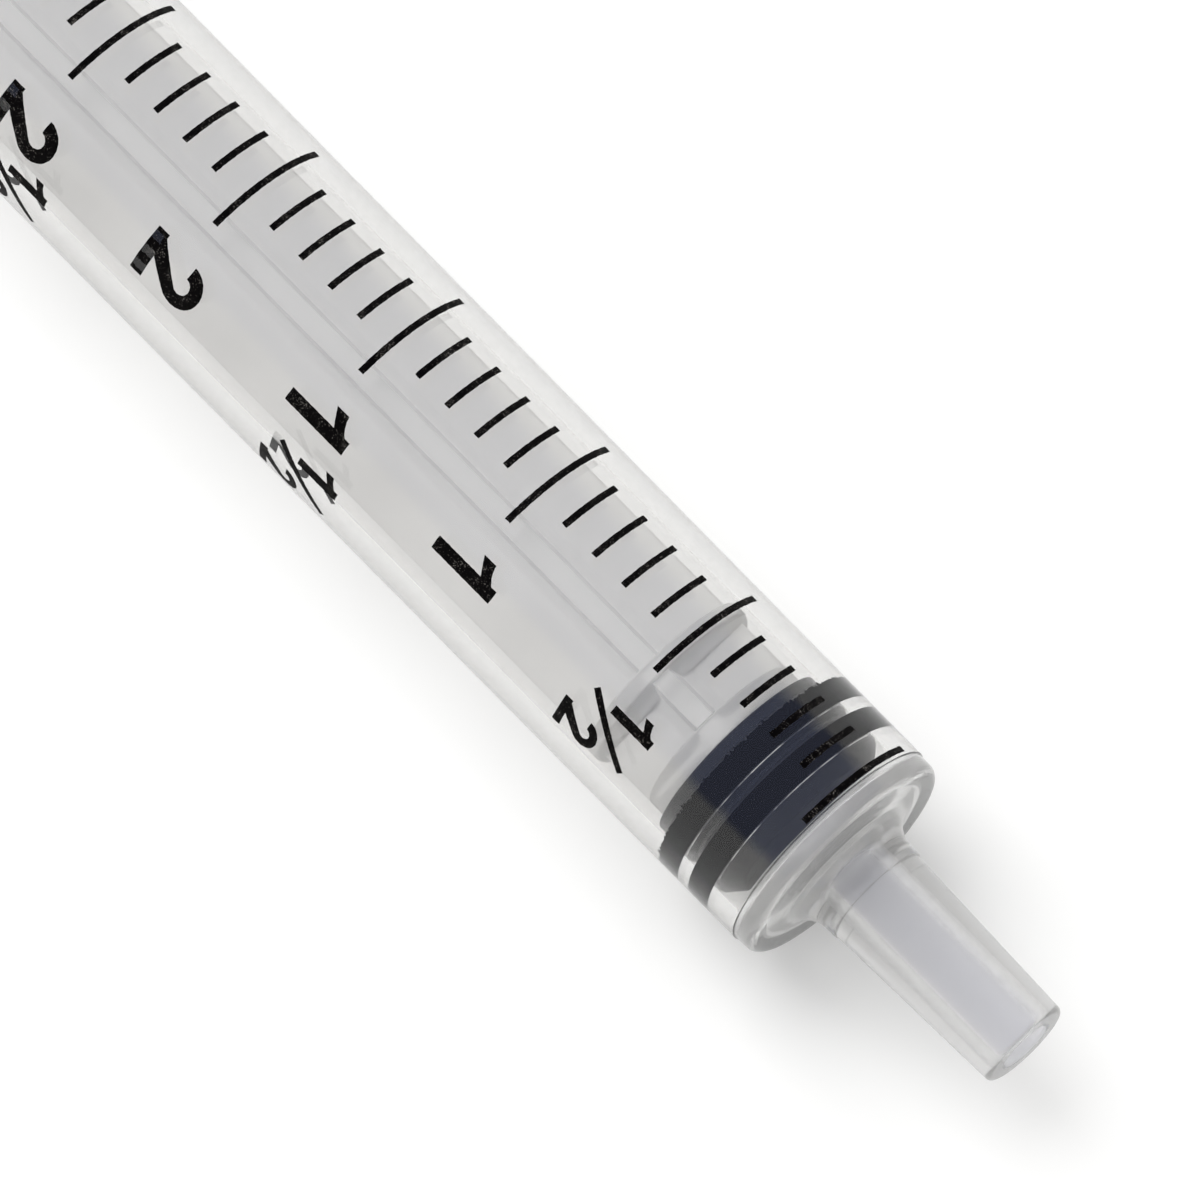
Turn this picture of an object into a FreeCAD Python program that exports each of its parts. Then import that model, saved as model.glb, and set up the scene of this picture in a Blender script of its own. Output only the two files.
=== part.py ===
import FreeCAD, Part
import math
import os

# A three-piece disposable syringe with a luer slip nozzle, lying along X.
# X = 0 is the open end of the nozzle and X grows towards the thumb rest. +Z is the printed side.
# All lengths are in mm and all angles in degrees.

# Luer nozzle
luer_tip_diameter = 4.01
luer_taper = 0.06
nozzle_length = 8.45
nozzle_edge_chamfer = 0.16
lumen_diameter = 2.10
lumen_mouth_chamfer = 0.10

# Neck and front wall of the barrel
parting_step = 0.07
neck_length = 1.80
neck_fillet = 1.30
front_corner_radius = 0.45
front_band_length = 1.01
front_band_step = 0.06
front_cone_angle = 70.0
front_cone_length = 1.00
bore_corner_chamfer = 0.22

# Barrel tube
bore_diameter = 8.66
front_wall_thickness = 0.83
outside_growth_per_mm = 0.00307
tube_length = 67.04

# Retaining bead inside the rear of the bore
bead_height = 0.36
bead_front_slope = 0.36
bead_crest = 0.35
bead_rear_slope = 0.70
mouth_chamfer = 0.45

# Finger flange
flange_thickness = 1.80
flange_span = 20.00
flange_across_flats = 12.60
flange_edge_radius = 0.45
flange_root_radius = 0.90

# Rubber stopper
rib_clearance = 0.02
stopper_setback = 1.64
rib_width = 1.10
rib_gap = 0.59
groove_depth = 0.42
groove_root = 0.20
stopper_skirt_length = 0.65
skirt_relief = 0.11
skirt_edge_chamfer = 0.12
nose_chamfer_radius_drop = 0.81
nose_chamfer_length = 0.65
nose_cone_angle = 72.0
nose_tip_radius = 0.60

# Rod head, held in the stopper's socket
head_radius = 2.45
head_length = 1.15
head_nose_length = 0.55
head_nose_radius = 1.35
head_neck_radius = 1.60
head_neck_length = 1.30
socket_clearance = 0.04

# Plunger rod
front_disc_thickness = 1.07
rear_disc_gap = 2.53
rear_disc_thickness = 0.71
rear_disc_radius = 4.10
disc_edge_chamfer = 0.12
fin_radius = 3.77
fin_edge_thickness = 0.80
fin_root_thickness = 1.15
fin_root_blend = 0.45
thumb_gap_when_home = 12.60
forward_travel = 1.25
rod_turn = -12.9
thumb_rest_diameter = 12.00
thumb_rest_thickness = 1.50
thumb_rest_chamfer = 0.32
thumb_blend_length = 2.20
grip_ring_radii = (1.70, 3.20, 4.70)
grip_ring_half_width = 0.32
grip_ring_height = 0.18

# Sizes that follow from the ones above
bore_radius = bore_diameter / 2
lumen_radius = lumen_diameter / 2
nozzle_tip_radius = luer_tip_diameter / 2
nozzle_root_radius = nozzle_tip_radius + luer_taper * nozzle_length / 2
neck_radius = nozzle_root_radius + parting_step
front_wall_x = nozzle_length + neck_length
band_end_x = front_wall_x + front_band_length
barrel_end_x = band_end_x + tube_length
barrel_front_radius = bore_radius + front_wall_thickness
barrel_rear_radius = barrel_front_radius + outside_growth_per_mm * tube_length
front_band_radius = barrel_front_radius - front_band_step
bore_start_x = front_wall_x + front_cone_length
cone_slope = 1 / math.tan(math.radians(front_cone_angle))
lumen_end_x = bore_start_x - (bore_radius - lumen_radius) * cone_slope
flange_front_x = barrel_end_x - flange_thickness
bead_radius = bore_radius - bead_height
bead_end_x = barrel_end_x - mouth_chamfer
bead_start_x = bead_end_x - bead_front_slope - bead_crest - bead_rear_slope

rib_front_x = band_end_x + stopper_setback
rib_radius = bore_radius - rib_clearance
groove_radius = rib_radius - groove_depth
rib_rear_x = rib_front_x + 2 * rib_width + rib_gap
stopper_rear_x = rib_rear_x + stopper_skirt_length
skirt_radius = rib_radius - skirt_relief
nose_chamfer_radius = rib_radius - nose_chamfer_radius_drop
nose_chamfer_x = rib_front_x - nose_chamfer_length
nose_slope = 1 / math.tan(math.radians(nose_cone_angle))
nose_tip_x = nose_chamfer_x - (nose_chamfer_radius - nose_tip_radius) * nose_slope

front_disc_x = stopper_rear_x + socket_clearance
fins_front_x = front_disc_x + front_disc_thickness
rear_disc_x = fins_front_x + rear_disc_gap
head_neck_x = front_disc_x - head_neck_length
head_front_x = head_neck_x - head_length
thumb_front_x = barrel_end_x + thumb_gap_when_home + forward_travel
thumb_rear_x = thumb_front_x + thumb_rest_thickness


def revolve(points):
    """Turns a closed outline of (x, radius) points about the X axis into a solid."""
    corners = [FreeCAD.Vector(x, 0, radius) for x, radius in points]
    face = Part.Face(Part.makePolygon(corners + [corners[0]]))
    return face.revolve(FreeCAD.Vector(0, 0, 0), FreeCAD.Vector(1, 0, 0), 360)


def circle_edges_at(shape, x, radius, tolerance=0.004):
    """Finds the round edges about the X axis that lie at this X and have this radius."""
    found = []
    for edge in shape.Edges:
        curve = edge.Curve
        if not isinstance(curve, Part.Circle):
            continue
        if abs(curve.Center.x - x) < tolerance and abs(curve.Radius - radius) < tolerance:
            found.append(edge)
    return found


def round_edge(shape, x, radius, fillet):
    """Rounds the circular edge at this X and radius."""
    edges = circle_edges_at(shape, x, radius)
    if not edges:
        raise ValueError("no round edge at x %.3f, radius %.3f" % (x, radius))
    return shape.makeFillet(fillet, edges)


def barrel_outside():
    """The outside of the barrel: luer cone, neck, front wall, short front band and drafted tube."""
    outline = [
        (0, 0),
        (0, nozzle_tip_radius - nozzle_edge_chamfer),
        (nozzle_edge_chamfer, nozzle_tip_radius + luer_taper * nozzle_edge_chamfer / 2),
        (nozzle_length, nozzle_root_radius),
        (nozzle_length, neck_radius),
        (front_wall_x, neck_radius),
        (front_wall_x, front_band_radius),
        (band_end_x, front_band_radius),
        (band_end_x, barrel_front_radius),
        (barrel_end_x, barrel_rear_radius),
        (barrel_end_x, 0),
    ]
    body = revolve(outline)
    body = round_edge(body, front_wall_x, neck_radius, neck_fillet)
    return round_edge(body, front_wall_x, front_band_radius, front_corner_radius)


def finger_flange():
    """The finger flange: a round plate cut by two flats above and below, with rounded rims."""
    plate = Part.makeCylinder(
        flange_span / 2, flange_thickness, FreeCAD.Vector(flange_front_x, 0, 0), FreeCAD.Vector(1, 0, 0)
    )
    flats = Part.makeBox(
        flange_thickness,
        flange_span,
        flange_across_flats,
        FreeCAD.Vector(flange_front_x, -flange_span / 2, -flange_across_flats / 2),
    )
    plate = plate.common(flats)
    upright = [edge for edge in plate.Edges if edge.BoundBox.XLength > flange_thickness / 2]
    plate = plate.makeFillet(flange_edge_radius * 2, upright)
    rims = [edge for edge in plate.Edges if edge.BoundBox.XLength < flange_thickness / 2]
    return plate.makeFillet(flange_edge_radius, rims)


def barrel_inside():
    """The space inside the barrel: lumen, front cone, bore, retaining bead and flared mouth."""
    crest_x = bead_start_x + bead_front_slope
    outline = [
        (-1, 0),
        (-1, lumen_radius + lumen_mouth_chamfer),
        (0, lumen_radius + lumen_mouth_chamfer),
        (lumen_mouth_chamfer, lumen_radius),
        (lumen_end_x, lumen_radius),
        (bore_start_x - bore_corner_chamfer * cone_slope, bore_radius - bore_corner_chamfer),
        (bore_start_x + bore_corner_chamfer, bore_radius),
        (bead_start_x, bore_radius),
        (crest_x, bead_radius),
        (crest_x + bead_crest, bead_radius),
        (bead_end_x, bore_radius),
        (barrel_end_x, bore_radius + mouth_chamfer),
        (barrel_end_x + 1, bore_radius + mouth_chamfer),
        (barrel_end_x + 1, 0),
    ]
    return revolve(outline)


def build_barrel():
    """The barrel, one moulding in clear polypropylene."""
    body = barrel_outside().fuse(finger_flange()).removeSplitter()
    tube_radius_at_flange = barrel_rear_radius - outside_growth_per_mm * flange_thickness
    body = round_edge(body, flange_front_x, tube_radius_at_flange, flange_root_radius)
    return body.cut(barrel_inside())


def head_outline(grow):
    """The rod head and its neck as (x, radius) points, grown on every side by the given gap."""
    return [
        (head_front_x - head_nose_length - grow, 0),
        (head_front_x - head_nose_length - grow, head_nose_radius + grow),
        (head_front_x - grow / 2, head_radius + grow),
        (head_neck_x + grow, head_radius + grow),
        (head_neck_x + grow, head_neck_radius + grow),
    ]


def build_stopper():
    """The rubber stopper: chamfered conical nose, two sealing ribs, a groove and a socket."""
    first_rib_end_x = rib_front_x + rib_width
    second_rib_x = first_rib_end_x + rib_gap
    outline = [
        (nose_tip_x, 0),
        (nose_tip_x, nose_tip_radius),
        (nose_chamfer_x, nose_chamfer_radius),
        (rib_front_x, rib_radius),
        (first_rib_end_x, rib_radius),
        (first_rib_end_x + groove_root, groove_radius),
        (second_rib_x - groove_root, groove_radius),
        (second_rib_x, rib_radius),
        (rib_rear_x, rib_radius),
        (rib_rear_x + skirt_relief, skirt_radius),
        (stopper_rear_x - skirt_edge_chamfer, skirt_radius),
        (stopper_rear_x, skirt_radius - skirt_edge_chamfer),
        (stopper_rear_x, 0),
    ]
    body = revolve(outline)
    mouth = stopper_rear_x + 1
    socket = head_outline(socket_clearance)
    socket += [(mouth, head_neck_radius + socket_clearance), (mouth, 0)]
    return body.cut(revolve(socket))


def fin_section(x):
    """The cross section of the rod's four fins at this X, each a little thicker at its root."""
    half_edge = fin_edge_thickness / 2
    half_root = fin_root_thickness / 2
    corner = half_root + fin_root_blend
    quarter = [
        (fin_radius, half_edge),
        (corner, half_root),
        (half_root, corner),
        (half_edge, fin_radius),
    ]
    points = []
    for turn in range(4):
        for y, z in quarter:
            for _ in range(turn):
                y, z = -z, y
            points.append(FreeCAD.Vector(x, y, z))
    return Part.Face(Part.makePolygon(points + [points[0]]))


def disc_outline(x, radius, thickness):
    """The rim of one disc of the rod, with both edges chamfered, as (x, radius) points."""
    return [
        (x, radius - disc_edge_chamfer),
        (x + disc_edge_chamfer, radius),
        (x + thickness - disc_edge_chamfer, radius),
        (x + thickness, radius - disc_edge_chamfer),
        (x + thickness, 0),
    ]


def build_rod():
    """The plunger rod, one moulding: head, two discs, four fins and the thumb rest.

    The rod is free to turn in the stopper. Rod_turn is the place it has come to rest in, about the X axis."""
    axis = FreeCAD.Vector(1, 0, 0)
    fins = fin_section(fins_front_x).extrude(axis * (thumb_front_x - fins_front_x))
    fins.rotate(FreeCAD.Vector(0, 0, 0), axis, rod_turn)
    head = head_outline(0) + [(front_disc_x, head_neck_radius)]
    front = revolve(head + disc_outline(front_disc_x, fin_radius, front_disc_thickness))
    rear_disc = revolve([(rear_disc_x, 0)] + disc_outline(rear_disc_x, rear_disc_radius, rear_disc_thickness))
    rod = front.fuse([fins, rear_disc, thumb_rest(), thumb_gusset()])
    return rod.fuse([grip_ring(radius) for radius in grip_ring_radii]).removeSplitter()


def thumb_rest():
    """The round plate at the rear of the rod, with both edges chamfered."""
    radius = thumb_rest_diameter / 2
    return revolve([
        (thumb_front_x, 0),
        (thumb_front_x, radius - thumb_rest_chamfer),
        (thumb_front_x + thumb_rest_chamfer, radius),
        (thumb_rear_x - thumb_rest_chamfer, radius),
        (thumb_rear_x, radius - thumb_rest_chamfer),
        (thumb_rear_x, 0),
    ])


def thumb_gusset():
    """The cone between the fins that carries them into the thumb rest."""
    return revolve([
        (thumb_front_x - thumb_blend_length, 0),
        (thumb_front_x - thumb_blend_length, fin_root_thickness / 2),
        (thumb_front_x, fin_root_thickness / 2 + thumb_blend_length),
        (thumb_front_x, 0),
    ])


def grip_ring(radius):
    """One low ring on the back of the thumb rest, sunk slightly so that it joins the plate."""
    return revolve([
        (thumb_rear_x - 0.2, radius - grip_ring_half_width),
        (thumb_rear_x, radius - grip_ring_half_width),
        (thumb_rear_x + grip_ring_height, radius - grip_ring_half_width / 2),
        (thumb_rear_x + grip_ring_height, radius + grip_ring_half_width / 2),
        (thumb_rear_x, radius + grip_ring_half_width),
        (thumb_rear_x - 0.2, radius + grip_ring_half_width),
    ])


def save(shape, name):
    """Writes one STEP file and prints its size."""
    box = shape.BoundBox
    print(name, "valid", shape.isValid(), "solids", len(shape.Solids), "volume %.2f" % shape.Volume)
    print("   X %.3f to %.3f, Z %.3f to %.3f" % (box.XMin, box.XMax, box.ZMin, box.ZMax))
    shape.exportStep("parts/%s.step" % name)


os.makedirs("parts", exist_ok=True)
save(build_barrel(), "barrel")
save(build_stopper(), "plunger_stopper")
save(build_rod(), "plunger_rod")
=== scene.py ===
# %% [markdown]
# # A luer slip syringe
#
# This lesson dresses a disposable syringe. Its solids come from the frame, in metres, with X running from
# the open end of the nozzle to the thumb rest and +Z out of the printed side. Three mouldings make the
# syringe: a clear barrel, a black rubber stopper and a milky plunger rod. A fourth thing is only ink: the
# scale.
#
# Clear plastic is hard to fake. What the eye reads as plastic is light that has been bent by real walls,
# so each moulding is worked out here as one closed skin with its true wall, and the renderer does the
# bending.

# %% Load the frame
import math

import bpy
import numpy as np
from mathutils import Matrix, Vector


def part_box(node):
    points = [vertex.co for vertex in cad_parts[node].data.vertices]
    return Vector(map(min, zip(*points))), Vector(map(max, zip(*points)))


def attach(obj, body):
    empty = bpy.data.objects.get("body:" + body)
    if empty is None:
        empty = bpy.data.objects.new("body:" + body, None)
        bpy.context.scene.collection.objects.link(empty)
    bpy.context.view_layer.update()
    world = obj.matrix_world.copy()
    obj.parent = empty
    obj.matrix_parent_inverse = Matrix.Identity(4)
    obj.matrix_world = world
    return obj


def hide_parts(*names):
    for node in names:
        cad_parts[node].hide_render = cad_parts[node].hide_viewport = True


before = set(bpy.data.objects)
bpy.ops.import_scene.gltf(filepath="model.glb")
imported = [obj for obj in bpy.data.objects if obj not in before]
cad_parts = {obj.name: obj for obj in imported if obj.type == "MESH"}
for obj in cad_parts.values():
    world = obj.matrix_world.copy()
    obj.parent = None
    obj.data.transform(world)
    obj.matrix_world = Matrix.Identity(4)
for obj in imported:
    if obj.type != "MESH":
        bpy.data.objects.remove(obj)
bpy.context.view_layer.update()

MM = 0.001

# %% [markdown]
# ## The camera
#
# The photograph was taken from far off with a long lens, almost straight down, with the nozzle towards
# the lower right of the picture. A long lens far away keeps the barrel's two edges nearly parallel, which
# a near camera with a wide lens would not. The camera is level: a distance, two angles and the point it
# looks at are enough.

# %% Make the camera
CAMERA_AZIMUTH = math.radians(-133.096)
CAMERA_ELEVATION = math.radians(71.468)
CAMERA_DISTANCE = 558.97 * MM
CAMERA_TARGET = Vector((24.853, -0.398, 0.091)) * MM
CAMERA_LENS = 423.34
SENSOR_WIDTH = 36.0


def make_camera():
    """Puts the camera at its distance from the target, in the direction of its azimuth and elevation."""
    flat = math.cos(CAMERA_ELEVATION)
    back = Vector((
        math.sin(CAMERA_AZIMUTH) * flat,
        -math.cos(CAMERA_AZIMUTH) * flat,
        math.sin(CAMERA_ELEVATION),
    ))
    data = bpy.data.cameras.new("camera")
    data.sensor_width = SENSOR_WIDTH
    data.lens = CAMERA_LENS
    data.clip_start = 0.01
    data.clip_end = 20.0
    camera = bpy.data.objects.new("camera", data)
    camera.rotation_mode = "QUATERNION"
    camera.rotation_quaternion = (-back).to_track_quat("-Z", "Y")
    camera.location = CAMERA_TARGET + back * CAMERA_DISTANCE
    bpy.context.scene.collection.objects.link(camera)
    bpy.context.scene.camera = camera
    return camera


camera = make_camera()
print("camera at", [round(v, 4) for v in camera.location])

# %% [markdown]
# ## Points, grids and outlines
#
# All three mouldings are turned forms, so each is an outline of (x, radius) carried round the X axis. An
# outline could be typed in point by point, but then every rounding would be a list of numbers. Here it is
# a few corners, each with the radius of its rounding, and the arcs are worked out.

# %% Round the corners of an outline
ARC_STEPS = 6
HOLD = 0.05


def arc_at(before, corner, after, radius, steps=ARC_STEPS):
    """Points of the arc of this radius that touches the two lines meeting at the corner.

    The arc starts on each line at radius / tan(half the corner's angle) from the corner. Its centre lies
    on the bisector, at radius / sin(half the angle)."""
    to_before = (before - corner) / np.linalg.norm(before - corner)
    to_after = (after - corner) / np.linalg.norm(after - corner)
    half = 0.5 * math.acos(np.clip(to_before @ to_after, -1, 1))
    bisector = (to_before + to_after) / np.linalg.norm(to_before + to_after)
    centre = corner + bisector * radius / math.sin(half)
    start = corner + to_before * radius / math.tan(half) - centre
    end = corner + to_after * radius / math.tan(half) - centre
    share = np.linspace(0, 1, steps)[:, None]
    turn = math.pi - 2 * half
    return centre + (np.sin((1 - share) * turn) * start + np.sin(share * turn) * end) / math.sin(turn)


def held(outline, closed):
    """Adds a point close to both ends of each straight stretch, so that the stretch shades straight.

    Without it the normals of a long face lean towards the arcs at its ends, and plastic bends light
    wrongly."""
    after = np.roll(outline, -1, axis=0)
    step = after - outline
    length = np.linalg.norm(step, axis=1)
    share = np.minimum(HOLD / np.maximum(length, 1e-9), 0.2)[:, None]
    straight = length > 2 * HOLD
    straight[-1] &= closed
    points = np.stack([outline, outline + step * share, after - step * share], 1)
    return points[np.stack([np.full(len(outline), True), straight, straight], 1)]


def rounded(corners, closed=False):
    """An outline in metres from corners of (x, radius, rounding) in mm, with an arc for each rounding."""
    places = np.array([c[:2] for c in corners], float)
    pieces = []
    for i, corner in enumerate(corners):
        inside = closed or 0 < i < len(corners) - 1
        if corner[2] > 0 and inside:
            after = places[(i + 1) % len(corners)]
            pieces.append(arc_at(places[i - 1], places[i], after, corner[2]))
        else:
            pieces.append(places[i][None])
    return held(np.concatenate(pieces), closed) * MM


elbow = rounded([(0, 0, 0), (0, 5, 1), (5, 5, 0)])
print("two lines and one rounded corner make", len(elbow), "points")

# %% [markdown]
# A turned form is then a grid: one row for each point of the outline, one column for each angle. The
# angle runs from +Z towards -Y. A row of radius nothing is a pole, and its points are made one, so that
# the skin is closed.

# %% Turn grids into meshes
def on_axis(x, radius, angle):
    """The point at this X, this far from the X axis, turned by the angle from +Z towards -Y."""
    return np.stack(np.broadcast_arrays(x, -radius * np.sin(angle), radius * np.cos(angle)), -1)


def ring_quads(rows, columns, loop):
    """Quads between neighbouring rows and columns. The columns close up, and in a loop the rows too."""
    i = np.arange(rows if loop else rows - 1)[:, None]
    j = np.arange(columns)[None, :]
    i_next, j_next = (i + 1) % rows, (j + 1) % columns
    corners = [i * columns + j, i * columns + j_next, i_next * columns + j_next, i_next * columns + j]
    return np.stack(np.broadcast_arrays(*corners), -1).reshape(-1, 4)


def closed_skin(grid, loop):
    """Points and faces of a grid of rings: a loop of rows, or rows from one pole to another."""
    rows, columns = grid.shape[:2]
    if loop:
        return grid.reshape(-1, 3), ring_quads(rows, columns, True).tolist()
    rings = grid[1:-1].reshape(-1, 3)
    poles = np.stack([grid[0].mean(0), grid[-1].mean(0)])
    first, last = len(rings), len(rings) + 1
    j = np.arange(columns)
    j_next = (j + 1) % columns
    base = (rows - 3) * columns
    front = np.stack([np.full(columns, first), j_next, j], -1)
    back = np.stack([base + j, base + j_next, np.full(columns, last)], -1)
    quads = ring_quads(rows - 2, columns, False)
    return np.concatenate([rings, poles]), quads.tolist() + front.tolist() + back.tolist()


print("a loop of 4 rows and 6 columns has", len(ring_quads(4, 6, True)), "faces")

# %% Join parts and make objects
def merge(parts):
    """Joins parts, each given as points and faces: the faces' numbers go on from the part before."""
    points, faces, shift = [], [], 0
    for part_points, part_faces in parts:
        points.append(part_points)
        faces.append(np.asarray(part_faces) + shift)
        shift += len(part_points)
    return np.concatenate(points), np.concatenate(faces).tolist()


def make_piece(name, points, faces, material, sharp_angle=30.0):
    """A mesh object from points in metres, smooth apart from edges sharper than the angle in degrees."""
    mesh = bpy.data.meshes.new(name)
    mesh.from_pydata(points.tolist(), [], faces)
    mesh.polygons.foreach_set("use_smooth", np.ones(len(mesh.polygons), bool))
    mesh.set_sharp_from_angle(angle=math.radians(sharp_angle))
    mesh.materials.append(material)
    mesh.update()
    piece = bpy.data.objects.new(name, mesh)
    bpy.context.scene.collection.objects.link(piece)
    print(name, len(mesh.vertices), "points", len(mesh.polygons), "faces")
    return piece

# %% [markdown]
# ## Node helpers
#
# A material is a small graph. One function adds a node with its values. The next ones add the few nodes
# that the graphs here need again and again, and give back the socket that carries the result. The last one
# makes an empty material.

# %% Add nodes
def add(tree, kind, inputs=None, **settings):
    """Adds a node with these settings and fills its inputs: a socket is linked, the rest are values."""
    node = tree.nodes.new(kind)
    for name, value in settings.items():
        setattr(node, name, value)
    for name, value in (inputs or {}).items():
        if isinstance(value, bpy.types.NodeSocket):
            tree.links.new(value, node.inputs[name])
        else:
            node.inputs[name].default_value = value
    return node


def object_place(tree):
    """The place of the shaded point in the object's own coordinates."""
    return add(tree, "ShaderNodeTexCoord").outputs["Object"]


def noise(tree, place, scale, detail=2.0, roughness=0.5):
    """Noise around 0.5 at each place. A larger scale makes it finer."""
    inputs = {"Vector": place, "Scale": scale, "Detail": detail, "Roughness": roughness}
    return add(tree, "ShaderNodeTexNoise", inputs).outputs["Fac"]


def calculate(tree, operation, *values, **settings):
    """The result of a math operation on sockets and numbers."""
    settings["operation"] = operation
    return add(tree, "ShaderNodeMath", dict(enumerate(values)), **settings).outputs[0]


def ramp(tree, value, start, end, **settings):
    """0 where the value is at the start, 1 where it is at the end, and a rise between them."""
    inputs = {"Value": value, "From Min": start, "From Max": end}
    return add(tree, "ShaderNodeMapRange", inputs, **settings).outputs["Result"]


def blend(tree, share, first, second):
    """The colour between the first and the second, at this share of the second."""
    inputs = {"Factor": share, "A": first, "B": second}
    return add(tree, "ShaderNodeMix", inputs, data_type="RGBA").outputs["Result"]


def bump(tree, height, strength, depth):
    """A normal that follows a height from 0 to 1, where 1 stands for this depth in metres."""
    inputs = {"Height": height, "Strength": strength, "Distance": depth}
    return add(tree, "ShaderNodeBump", inputs).outputs["Normal"]


def new_material(name):
    """An empty node material, its tree and its output node."""
    material = bpy.data.materials.new(name)
    material.use_nodes = True
    material.node_tree.nodes.clear()
    return material, material.node_tree, material.node_tree.nodes.new("ShaderNodeOutputMaterial")


print("materials that came with the frame:", sorted(m.name for m in bpy.data.materials))

# %% [markdown]
# Every moulding here has the same two small faults: a fine unevenness in its gloss, from the polished
# steel that it was moulded against, and a slow drift in its thickness or colour. One group gives both, at
# a scale that each material chooses.

# %% Uneven moulded surface
def new_group(name, inputs, outputs):
    """A shader node group: its inputs are given as name: (socket type, value), its outputs as names."""
    group = bpy.data.node_groups.new(name, "ShaderNodeTree")
    for label, (kind, value) in inputs.items():
        group.interface.new_socket(label, in_out="INPUT", socket_type=kind).default_value = value
    for label in outputs:
        group.interface.new_socket(label, in_out="OUTPUT", socket_type="NodeSocketFloat")
    return group, group.nodes.new("NodeGroupInput").outputs, group.nodes.new("NodeGroupOutput").inputs


def moulded_skin_group():
    """Fine grain and slow drift, both from noise on the object's own coordinates, stretched along X.

    The roughness given out is the middle roughness + amount * (grain + drift - 1). The height is the grain
    alone, for a bump. The drift, from 0 to 1, is for a colour."""
    group, start, end = new_group("moulded_skin", {
        "Grain Scale": ("NodeSocketFloat", 4000.0),
        "Drift Scale": ("NodeSocketFloat", 200.0),
        "Roughness": ("NodeSocketFloat", 0.1),
        "Amount": ("NodeSocketFloat", 0.05),
        "Stretch": ("NodeSocketVector", (0.35, 1.0, 1.0)),
    }, ("Roughness", "Height", "Drift"))
    places = {0: object_place(group), 1: start["Stretch"]}
    stretched = add(group, "ShaderNodeVectorMath", places, operation="MULTIPLY").outputs[0]
    grain = noise(group, stretched, start["Grain Scale"], detail=3.0, roughness=0.6)
    drift = noise(group, stretched, start["Drift Scale"])
    uneven = calculate(group, "SUBTRACT", calculate(group, "ADD", grain, drift), 1.0)
    parts = (uneven, start["Amount"], start["Roughness"])
    roughness = calculate(group, "MULTIPLY_ADD", *parts, use_clamp=True)
    group.links.new(roughness, end["Roughness"])
    group.links.new(grain, end["Height"])
    group.links.new(drift, end["Drift"])
    return group


MOULDED_SKIN = moulded_skin_group()


def moulded_skin(tree, scale, roughness, amount):
    """The outputs of the group in a material: the grain at this scale, the drift ten times as wide."""
    return add(tree, "ShaderNodeGroup", {
        "Grain Scale": scale,
        "Drift Scale": scale / 10,
        "Roughness": roughness,
        "Amount": amount,
    }, node_tree=MOULDED_SKIN).outputs


print("group", MOULDED_SKIN.name, "with", len(MOULDED_SKIN.nodes), "nodes")

# %% [markdown]
# ## Clear plastic
#
# The barrel and the rod are polypropylene, the barrel clear, the rod milkier. Glass shaders bend the
# camera's rays correctly, but they also block the lamps, and would throw a black shadow. Real plastic
# lets the light through. So rays from lamps and from the floor meet a plain tinted film in place of the
# bending glass.
#
# The barrel's wall also takes away a little of the light, most of it near the edges of the tube, where a
# ray runs far inside the wall. A volume with a tint and a density does that. The nozzle and the front
# wall are thick and cool slowly in the mould, so their plastic is hazier.

# %% The barrel's clear plastic
PLASTIC_TINT = (0.5, 0.488, 0.475, 1.0)
SKIN_COLOUR = (0.99, 0.99, 0.985, 1.0)
# Painted shade in the lumen: the plastic's colour close to the axis
LUMEN_SHADE_COLOUR = (0.80, 0.80, 0.85, 1.0)
HAZE_AND_SHADE_REACH = 1.2
HAZE_AND_SHADE_EDGE = 1.3
PIN_HAZE = 0.2


def let_lamps_through(tree, shader, tint):
    """Mixes the shader with a tinted clear film for shadow rays and for rays that left a matt surface."""
    path = add(tree, "ShaderNodeLightPath")
    film = add(tree, "ShaderNodeBsdfTransparent", {"Color": tint}).outputs[0]
    for ray in ("Is Shadow Ray", "Is Diffuse Ray"):
        shader = add(tree, "ShaderNodeMixShader", {0: path.outputs[ray], 1: shader, 2: film}).outputs[0]
    return shader


def clear_plastic(name, haze, unevenness, transmission, film, dimming):
    """Clear polypropylene: it bends light, blurs it by the haze, scatters what it doesn't transmit, and the
    wall itself takes away a share of the light for each millimetre, set by the dimming.

    Near the axis the skin was moulded on the matt core pin that leaves the lumen, so it is hazier there. It
    is also painted a little darker and bluer there: painted shade in the lumen."""
    material, tree, output = new_material(name)
    places = {0: object_place(tree), 1: (0.0, 1.0, 1.0)}
    across = add(tree, "ShaderNodeVectorMath", places, operation="MULTIPLY").outputs[0]
    from_axis = add(tree, "ShaderNodeVectorMath", {0: across}, operation="LENGTH").outputs["Value"]
    lumen = ramp(tree, from_axis, HAZE_AND_SHADE_EDGE * MM, HAZE_AND_SHADE_REACH * MM)
    skin = moulded_skin(tree, scale=2600.0, roughness=haze, amount=unevenness)
    shader = add(tree, "ShaderNodeBsdfPrincipled", {
        # Close to the axis the colour turns to the painted shade of the lumen
        "Base Color": blend(tree, lumen, SKIN_COLOUR, LUMEN_SHADE_COLOUR),
        "Roughness": calculate(tree, "MULTIPLY_ADD", lumen, PIN_HAZE, skin["Roughness"]),
        "IOR": 1.49,
        "Transmission Weight": transmission,
        "Normal": bump(tree, skin["Height"], strength=0.01, depth=0.05 * MM),
    })
    through = let_lamps_through(tree, shader.outputs[0], (film, film, film, 1.0))
    tree.links.new(through, output.inputs["Surface"])
    dim = add(tree, "ShaderNodeVolumeAbsorption", {"Color": PLASTIC_TINT, "Density": dimming})
    tree.links.new(dim.outputs[0], output.inputs["Volume"])
    return material


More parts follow.
